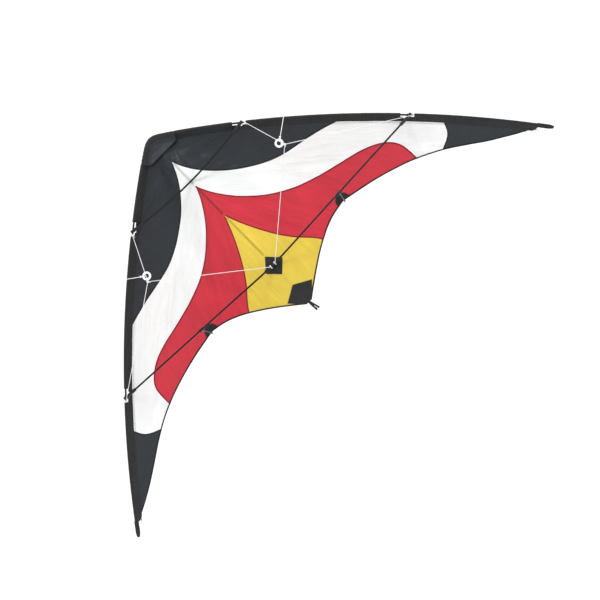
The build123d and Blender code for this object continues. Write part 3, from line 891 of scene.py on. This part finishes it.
def make_sleeve(wing):
    """The leading edge's pocket, cut away round each connector, a little loose on the rod."""
    half = SLEEVE_OPENING / 2 / edge.length
    openings = np.array([UPPER_CONNECTOR_AT, LOWER_CONNECTOR_AT]) - OPENING_SHIFT / edge.length
    even = np.linspace(SLEEVE_FROM, SLEEVE_TO, 300)
    fractions = np.sort(np.concatenate([even, openings - half, openings + half]))
    sections = loosened(wing, sleeve_section(), fractions * edge.length)
    vertices, faces, cloth = sweep(*edge_frames(wing, fractions), sections)
    cloth[:, 1] *= 0.055      # metres round the sleeve
    turns = sections.shape[1]
    kept = []
    for face in [face for face in faces if len(face) == 4]:
        middle = fractions[min(face) // turns] + 1e-6
        reach = np.mean([sections[0, i % turns, 0] for i in face])
        if not cut_away((middle - openings) * edge.length, reach):
            kept.append(face)
    shell, shell_faces = thickened(vertices, vertex_normals(vertices, kept), kept, 0.0005)
    place_piece(f"{wing.name}_sleeve", wing, (shell, shell_faces, np.vstack([cloth, cloth])),
                "sleeve_cloth", wing.body, f"{wing.name}_leading_edge_sleeve")
    thread = zigzag(wing, edge_line(0.0175, SLEEVE_FROM, SLEEVE_TO), 0.0012)
    place_piece(f"{wing.name}_sleeve_stitches", wing, thread, "black_thread", wing.body)


def vertex_normals(vertices, faces):
    """Unit vertex normals of a mesh of three- and four-sided faces."""
    normals = np.zeros_like(vertices)
    for face in faces:
        a, b, c = vertices[face[0]], vertices[face[1]], vertices[face[2]]
        normal = np.cross(b - a, c - a)
        for i in face:
            normals[i] += normal
    lengths = np.linalg.norm(normals, axis=1)
    lengths[lengths == 0] = 1.0
    return normals / lengths[:, None]


# --- patches --------------------------------------------------------------------------------
def dense(corners, step=0.003, closed=True):
    """Points every step along straight sides."""
    corners = [np.array(c, float) for c in corners]
    ends = corners[1:] + corners[:1] if closed else corners[1:]
    points = []
    for start, end in zip(corners, ends):
        count = max(1, int(round(np.linalg.norm(end - start) / step)))
        points.extend(start + (end - start) * i / count for i in range(count))
    if not closed:
        points.append(corners[-1])
    return np.array(points)


def patch(wing, corners):
    """A patch of heavy cloth laid on the sail."""
    flat, triangles = flat_triangles(dense(corners), [], 0.0039)
    return surface_shell(wing, flat, triangles, 0.0009, 0.0007)


def make_sewn_patch(wing, name, corners, stitched, node, body=None):
    """A patch and the row of stitches just inside its edge."""
    thread = zigzag(wing, dense(stitched, 0.002, closed=False), 0.0014, 0.0008)
    place_piece(f"{wing.name}_{name}", wing, patch(wing, corners), "patch_cloth", body, node)
    place_piece(f"{wing.name}_{name}_stitches", wing, thread, "black_thread", body)


def make_patches(wing):
    """Half of the centre patch, with the tee's opening in it, half of the tail patch, and a standoff's."""
    neck, reach, tail_end = 0.0048, 0.033, -0.1372
    opening = [(0.0, -neck), (neck, -neck), (neck, neck), (0.0, neck)]
    centre = [(0.0, reach), (0.031, 0.0), (0.0, -reach)] + opening
    centre_row = [(0.001, 0.0297), (0.0285, 0.0), (0.001, -0.0297)]
    make_sewn_patch(wing, "centre_patch_half", centre, centre_row, "centre_patch")
    tail = [(0.0, -0.074), (0.046, -0.097), (0.0095, tail_end), (0.0, tail_end)]
    tail_row = [(0.001, -0.0768), (0.0423, -0.0975), (0.009, -0.1320)]
    make_sewn_patch(wing, "tail_patch_half", tail, tail_row, "tail_patch")
    x, z = TRAILING_OUTER[0]
    half_disc, row = (
        [(x + radius * math.cos(t), z + radius * math.sin(t)) for t in np.linspace(gap, math.pi - gap, 17)]
        for radius, gap in ((0.022, 0.0), (0.0195, 0.1))
    )
    make_sewn_patch(wing, "standoff_patch_cloth", half_disc, row, f"{wing.name}_standoff_patch", wing.body)


def rounded(before, corner, after, reach):
    """A corner replaced by a smooth bend that starts and ends reach away from it."""
    before, corner, after = Vector(before), Vector(corner), Vector(after)
    start = corner + (before - corner).normalized() * reach
    end = corner + (after - corner).normalized() * reach
    return [tuple(start.lerp(corner, t).lerp(corner.lerp(end, t), t)) for t in np.linspace(0, 1, 7)]


def nose_outline():
    """The pocket's sewn edge, from its top to where a rod comes out, and its whole border."""
    centre, radius = np.array([0.0, 0.4473]), 0.0415
    side, foot = (0.0665, 0.4520), (0.0495, POCKET_BOTTOM)
    turns = np.linspace(0, math.radians(34.7), 17)
    arc = [tuple(centre + radius * np.array([math.sin(t), math.cos(t)])) for t in turns]
    closed = arc + rounded(arc[-1], side, foot, 0.008)
    return closed, dense(closed + [foot, (0.0, POCKET_BOTTOM)], 0.0022)


def make_nose(wing):
    """Half of the pocket over the three upper rod ends: ripstop, bound in the sleeve's cloth."""
    middle_y, half_gap, swell = -0.0012, 0.0004, 0.0093
    closed, border = nose_outline()
    flat, triangles = flat_triangles(border, [], 0.0028)
    closed_line = dense(closed, 0.0010, closed=False)

    def from_closed(point):
        """How far a point is from the sewn edge."""
        return np.min(np.hypot(*(closed_line - point).T))

    away = np.array([from_closed(point) for point in flat])
    puff = np.sqrt(np.clip(1 - (1 - np.clip(away / 0.006, 0, 1))**2, 0, 1))
    rib = 0.0007 * np.cos(np.clip(np.abs(flat[:, 0]) / 0.006, 0, math.pi))
    drape = 1.0 - 0.7 * np.clip((away - 0.012) / 0.014, 0, 1)
    faces = facing_flyer(flat, triangles)
    backs = [tuple(reversed(face)) for face in faces]
    parts = []
    for sign, share, sheet_faces in ((-1, drape, faces), (1, 1.0, backs)):
        y = middle_y + sign * (half_gap + (swell + rib) * puff * share)
        sheet = np.column_stack([flat[:, 0], y, flat[:, 1]])
        shell, shell_faces = thickened(sheet, vertex_normals(sheet, sheet_faces), sheet_faces, WEBBING)
        parts.append((shell, shell_faces, shell[:, [0, 2, 1]]))
    pocket = place_piece(f"{wing.name}_nose_pocket", wing, joined(parts), "sleeve_cloth",
                         node="nose_patch")
    pocket.data.materials.append(MATERIALS["black_ripstop"])
    for polygon in pocket.data.polygons:
        bound = from_closed((abs(polygon.center.x), polygon.center.z)) < BINDING_WIDTH
        polygon.material_index = 0 if bound else 1


def make_spine_tape(wing):
    """Half of the tape behind the sail, where the two wings are sewn together along the spine."""
    parts = []
    for top, bottom in ((POCKET_BOTTOM, 0.016), (-0.016, -0.130)):
        heights = np.arange(top, bottom, -0.006)
        line = np.column_stack([np.full(len(heights), 0.0026), heights])
        parts.append(surface_band(wing, line, 0.0050, FOLD, -0.0004))
    place_piece(f"{wing.name}_spine_tape", wing, joined(parts), "seam_tape", node="spine_seam")


# --- webbing at the tips and the tail --------------------------------------------------------
def band_loop(points, widths, hint):
    """Webbing of changing width that follows points."""
    sides, normals = turned_frames(points, hint)
    base = np.array(flat_band(1.0, 0.1))
    section = np.array([base * [width, 10 * WEBBING] for width in widths])
    return sweep(points, sides, normals, section)


def make_tip_loop(wing):
    """A folded webbing loop over the nock, narrowed where it turns round the rod's end."""
    at, half_length, half_depth, end_turn = 0.978, 0.0215, 0.0048, 0.88 * math.pi
    middle, run, across = edge.at(at), edge.run(at), inward(at)
    out = across.cross(run).normalized()
    points = []
    for t in np.linspace(-end_turn, end_turn, 61):
        reach = half_length * math.cos(t * 0.5 * 1.13)
        side = math.sin(t) if abs(t) < math.pi / 2 else math.copysign(1.0, t)
        points.append(middle + run * (2.2 * reach - 0.0238) + out * (half_depth * side))
    from_turn = np.abs(np.linspace(-1, 1, len(points)))
    widths = 0.0048 + 0.0052 * np.clip(from_turn * 2.0, 0, 1)
    place_piece(f"{wing.name}_tip_webbing", wing, band_loop(points, widths, tuple(out)), "webbing",
                wing.body, f"{wing.name}_tip_loop")


def make_tail_strap():
    """Two narrow straps from the tail, folded round the notch of the spine's cap, leaning a little."""
    parts = []
    for side, lean in ((-1, 0.0036), (1, 0.0052)):
        points, widths = [], []
        for turn in np.linspace(0.0, math.pi, 49):
            drop = min(1.0, 3.2 * math.sin(turn))
            fall = math.sqrt(1 - (1 - drop)**2)
            x = side * (0.0017 + 0.0014 * fall) + lean * fall
            points.append((x, SPINE_Y - 0.0061 * math.cos(turn), -0.1375 - 0.0285 * fall))
            widths.append(0.0032 + 0.0024 * fall)
        parts.append(band_loop(np.array(points), widths, (0.0, -1.0, 0.0)))
    place_piece("tail_webbing", None, joined(parts), "webbing", "centre", "tail_strap")


# --- bridle ---------------------------------------------------------------------------------
def coil(centre, axis, radius, turns):
    """Points of a few touching turns of line round an axis."""
    axis = Vector(axis).normalized()
    first = axis.orthogonal().normalized()
    second = axis.cross(first)
    points = []
    for t in np.linspace(0, turns * FULL_TURN, int(turns * 20)):
        shift = (t / FULL_TURN - turns / 2) * LINE_DIAMETER * 1.02
        points.append(centre + axis * shift + (first * math.cos(t) + second * math.sin(t)) * radius)
    return points


def overhand_knot(centre, run, size, radius=LINE_RADIUS):
    """An overhand knot as a closed line, drawn tight across the line's run."""
    run = Vector(run).normalized()
    first = run.orthogonal().normalized()
    second = run.cross(first)
    points = []
    for t in np.linspace(0, FULL_TURN, 48, endpoint=False):
        a = math.sin(t) + 2 * math.sin(2 * t)
        b = math.cos(t) - 2 * math.cos(2 * t)
        points.append(centre + (first * a + second * b - run * math.sin(3 * t) * 1.5) * size / 3)
    return cord_mesh(points, radius, closed=True)


def line_points(start, end):
    """Points about a centimetre apart along a taut line."""
    count = max(3, int((end - start).length / 0.01))
    return [start + (end - start) * i / count for i in range(count + 1)]


def tag_end(start, run, droop, length, radius):
    """A short loose end that springs out of a knot and curls over."""
    run, droop = Vector(run).normalized(), Vector(droop).normalized()
    shares = np.linspace(0, 1, 8)
    return cord_mesh([start + run * (length * s) + droop * (length * 0.45 * s * s) for s in shares], radius)


def make_bridle_leg(wing, name, start, gap):
    """A taut leg of the bridle, from gap past its tie to the tow knot."""
    run = (TOW_KNOT - start).normalized()
    line = cord_mesh(line_points(start + run * gap, TOW_KNOT - run * 0.0022), LINE_RADIUS)
    leg = add_piece(f"{wing.name}_{name}_leg_line", wing, line, MATERIALS["bridle_line"])
    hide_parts(f"{wing.name}_{name}_bridle_leg")
    return leg


def rod_tie(at, size):
    """Two turns round the leading edge's rod, a knot drawn tight on them and its two loose ends."""
    start, along = edge.at(at), edge.run(at)
    run = (TOW_KNOT - start).normalized()
    knot_at = start + run * 0.0050
    side = run.cross(along).normalized()
    thin = LINE_RADIUS * 0.7
    return [
        cord_mesh(coil(start, along, ROD_RADIUS + LINE_RADIUS * 1.02, 2.0), LINE_RADIUS),
        overhand_knot(knot_at, run, 0.0007 + 0.0006 * size, LINE_RADIUS * 0.8),
        tag_end(knot_at, side + run * 0.4, along, 0.0075 * size, thin),
        tag_end(knot_at, along - side, inward(at), 0.0060 * size, thin),
    ]


def tow_knots():
    """The knot of the three legs, another behind it, and the loose ends."""
    behind = TOW_KNOT - RING_LEAN.normalized() * 0.001
    return [
        overhand_knot(TOW_KNOT, RING_LEAN, 0.0030),
        overhand_knot(behind, (0, 1, 0), 0.0022),
        tag_end(TOW_KNOT, (-0.6, -0.3, -0.7), (0, 0, -1), 0.0055, LINE_RADIUS * 0.8),
        tag_end(TOW_KNOT, (0.8, 0.2, -0.2), (0, 0, -1), 0.0045, LINE_RADIUS * 0.8),
    ]


def mirrored(wing, point):
    """A right-hand point, or its mirror image on the left wing."""
    return Vector((point[0] * wing.side, point[1], point[2]))


def make_bridle(wing):
    """Three legs to the tow knot, the wraps that tie them to the frame, and the knots."""
    parts = []
    for name, connector_at, size in (("upper", UPPER_CONNECTOR_AT, 1.0), ("outer", LOWER_CONNECTOR_AT, 0.5)):
        at = connector_at + TIE_BESIDE
        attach(make_bridle_leg(wing, name, edge.at(at), 0.0045), wing.body)
        parts += rod_tie(at, size)
    place_piece(f"{wing.name}_bridle_ties", wing, joined(parts + tow_knots()), "bridle_line",
                wing.body, f"{wing.name}_bridle_knots")
    tie = TEE + LOWER_RUN * 0.007
    centre_leg = make_bridle_leg(wing, "centre", tie, 0.0058)
    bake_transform(centre_leg)
    run, thin = (TOW_KNOT - tie).normalized(), LINE_RADIUS * 0.8
    wraps = [
        cord_mesh(coil(tie, LOWER_RUN, TEE_RADIUS + thin, 1.5), thin),
        overhand_knot(tie + run * 0.0062, run, 0.0011, thin),
    ]
    place_piece(f"{wing.name}_centre_tie", wing, joined(wraps), "bridle_line", "centre",
                "centre_bridle_loops")


def ring_hitch(centre, away):
    """Two turns of line round the ring's rim, on the side of the ring that away points to."""
    away = Vector(away).normalized()
    along = away.cross(Vector((0, 1, 0))).normalized()
    rim = centre + away * RING_MIDDLE
    points = []
    for t in np.linspace(0, 2 * FULL_TURN, 48):
        turn_start = rim + along * ((t / FULL_TURN - 1) * LINE_DIAMETER * 1.05)
        points.append(turn_start + away * (0.0034 * math.cos(t)) + Vector((0, 0.0031 * math.sin(t), 0)))
    return cord_mesh(points, LINE_RADIUS)


def end_loop(end):
    """The knotted loop at the flying line's end."""
    side = LINE_RUN.cross(Vector((0, 1, 0))).normalized()
    points = []
    for t in np.linspace(0, FULL_TURN, 40, endpoint=False):
        wide = 0.006 * math.sin(t) * math.sin(t / 2)
        points.append(end + LINE_RUN * (0.019 * (1 - math.cos(t))) + side * wide)
    return [cord_mesh(points, LINE_RADIUS, closed=True), overhand_knot(end, LINE_RUN, 0.0028)]


def straight_line(wing, start, end):
    """The taut line as a bevelled curve, through its middle."""
    data = bpy.data.curves.new(f"{wing.name}_flying_line", "CURVE")
    data.dimensions = "3D"
    spline = data.splines.new("NURBS")
    route = (start, start.lerp(end, 0.5), end)
    spline.points.add(len(route) - 1)
    for control, point in zip(spline.points, route):
        control.co = (*mirrored(wing, point), 1.0)
    spline.order_u = 3
    spline.use_endpoint_u = True
    data.bevel_depth = LINE_RADIUS
    data.bevel_resolution = 3
    data.use_fill_caps = True
    data.materials.append(MATERIALS["flying_line"])
    line = bpy.data.objects.new(f"{wing.name}_flying_line", data)
    bpy.context.scene.collection.objects.link(line)
    return line


def make_flying_line(wing):
    """The flying line's end: taut from the tow ring, out past the leading edge, to its loop."""
    ring = f"{wing.name}_ring"
    centre = TOW_KNOT + RING_LEAN * (0.0032 + RING_OUTER + 0.0003)
    start = centre + LINE_RUN * (RING_OUTER + 0.0004)
    end = start + LINE_RUN * LINE_LENGTH
    line = straight_line(wing, start, end)
    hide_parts(f"{wing.name}_flying_line_end")
    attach(line, ring)
    hitches = [ring_hitch(centre, away) for away in (LINE_RUN, -RING_LEAN)]
    hitches.append(overhand_knot(start + LINE_RUN * 0.004, LINE_RUN, 0.0022))
    look = "flying_line"
    place_piece(f"{wing.name}_ring_hitches", wing, joined(hitches), look, ring)
    loop = place_piece(f"{wing.name}_line_loop", wing, joined(end_loop(end)), look, ring)


# --- connectors -----------------------------------------------------------------------------
def make_lower_connector(wing):
    """A vinyl tube that swings on the leading edge's rod and holds the lower spreader."""
    outer, collar_outer, length, wall_end = 0.0045, 0.0037, 0.036, 0.0055
    stations = np.linspace(-wall_end, length, 24)
    points = np.array([LOWER_POINT - LOWER_RUN * s for s in stations])
    swell = np.array([1.0 + 0.10 * math.exp(-(s / 0.005)**2) for s in stations])
    swell[0], swell[-1] = 0.86, 0.93
    section = np.array([np.array(circle(outer * w, 24)) for w in swell])
    body = sweep(points, *turned_frames(points), section)
    run = edge.run(LOWER_CONNECTOR_AT)
    cross_points = [LOWER_POINT + run * s for s in np.linspace(-0.0065, 0.0065, 9)]
    collar = sweep(cross_points, *turned_frames(cross_points), circle(collar_outer, 20))
    name = f"{wing.name}_lower_connector"
    tube = add_piece(f"{name}_vinyl", wing, joined([body, collar]), MATERIALS["vinyl"])
    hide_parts(name)
    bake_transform(tube)


# --- CAD nodes that keep their shape --------------------------------------------------------
def dress(node, material):
    """A CAD node keeps its shape and gets a better material."""
    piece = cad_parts[node]
    piece.data.materials.clear()
    piece.data.materials.append(material)


def dress_frame():
    """Glass fibre on the rods, and plastic, vinyl or metal on the fittings."""
    dark, brown = rgb(0.006, 0.005, 0.005), rgb(0.022, 0.016, 0.014)
    for node, run in (("spine_rod", (0, 0, 1)), ("upper_spreader", (1, 0, 0))):
        dress(node, glass_fibre(f"{node}_glass", dark, run, 0.34))
    moulded_nodes = {
        "standoff_clip": "vinyl", "standoff_cap": "moulded_cap", "tip_nock": "moulded_cap",
        "tow_ring": "ring_plastic", "leading_edge_ferrule": "ferrule", "upper_connector": "vinyl",
    }
    for wing in wings:
        rods = {
            "upper_leading_edge_rod": (dark, edge.run(0.22)),
            "lower_leading_edge_rod": (dark, edge.run(0.70)),
            "lower_spreader": (dark, LOWER_RUN),
            "standoff_rod": (brown, (0, 1, 0)),
        }
        for node, (colour, run) in rods.items():
            name = f"{wing.name}_{node}"
            dress(name, glass_fibre(f"{name}_glass", colour, mirrored(wing, run), 0.32))
        for node, material in moulded_nodes.items():
            dress(f"{wing.name}_{node}", MATERIALS[material])
    dress("centre_tee", MATERIALS["vinyl"])
    dress("spine_end_cap", MATERIALS["moulded_cap"])


def make_floor():
    """A wide pale floor well below the kite."""
    size, height = 14.0, -1.25
    corners = [(-size, -size, height), (size, -size, height), (size, size, height), (-size, size, height)]
    floor = add_piece("floor", None, (corners, [(0, 1, 2, 3)], corners), floor_paper())


make_camera()
make_studio()
wings = (Wing(1), Wing(-1))
wing_makers = (
    make_flying_line, make_panels, make_seams, make_spine_fold_and_shadow, make_hem, make_sleeve, make_patches,
    make_nose, make_spine_tape, make_tip_loop, make_bridle, make_lower_connector,
)
for wing in wings:
    for make in wing_makers:
        make(wing)
make_tail_strap()
dress_frame()
make_floor()
